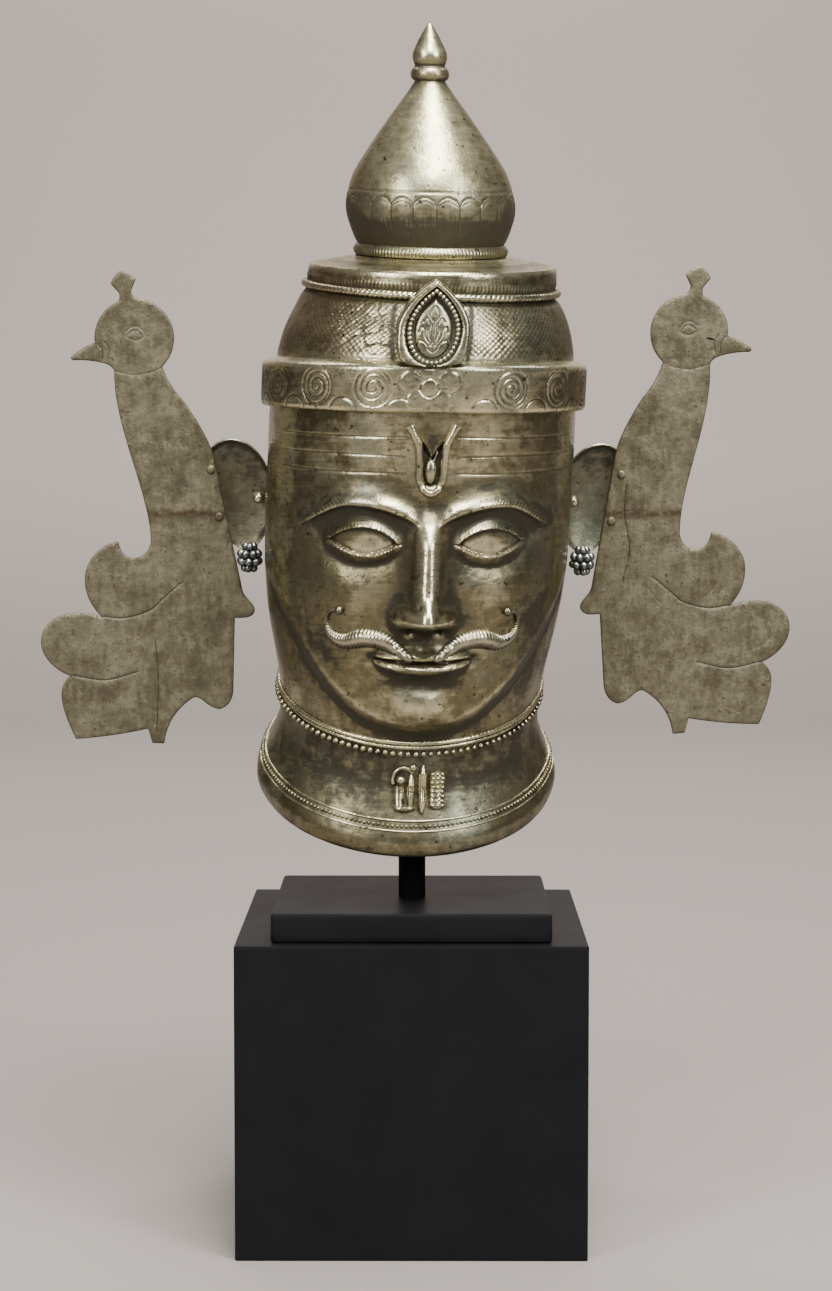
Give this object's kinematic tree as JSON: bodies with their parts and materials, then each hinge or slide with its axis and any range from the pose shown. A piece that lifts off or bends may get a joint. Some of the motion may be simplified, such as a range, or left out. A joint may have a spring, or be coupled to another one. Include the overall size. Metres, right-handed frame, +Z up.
{
  "type": "ritual mask on a rod stand",
  "caption": "Hollow bronze face mask with a crown, a domed top and a peacock plate beside each ear, held up by a rod on a black stepped block.",
  "frame": {"origin": "middle of the block's underside, where it rests", "axes": "+Z up, +Y towards the open back of the mask, so the face looks along -Y; +X to the right as the viewer sees it"},
  "size_m": [0.4481, 0.2431, 0.7037],
  "materials": {
    "cast_bronze": "cast bronze, worn bright on its high forms, olive-brown and a little green in its hollows",
    "sheet_bronze": "flat bronze plate, satin, olive-grey with darker blotches and engraved lines",
    "stand_paint": "wooden block and step in satin black paint",
    "rod_paint": "steel rod in satin black paint"
  },
  "bodies": {
    "root": {"face_mask": "cast_bronze", "crown": "cast_bronze", "dome": "cast_bronze", "medallion": "cast_bronze", "ear_left": "cast_bronze", "ear_right": "cast_bronze", "ear_stud_left": "cast_bronze", "ear_stud_right": "cast_bronze", "earring_left": "cast_bronze", "earring_right": "cast_bronze", "rivet_left_lower": "cast_bronze", "rivet_left_upper": "cast_bronze", "rivet_right_lower": "cast_bronze", "rivet_right_upper": "cast_bronze", "peacock_left": "sheet_bronze", "peacock_right": "sheet_bronze", "plinth_block": "stand_paint", "plinth_step": "stand_paint", "rod": "rod_paint"}
  },
  "joints": []
}
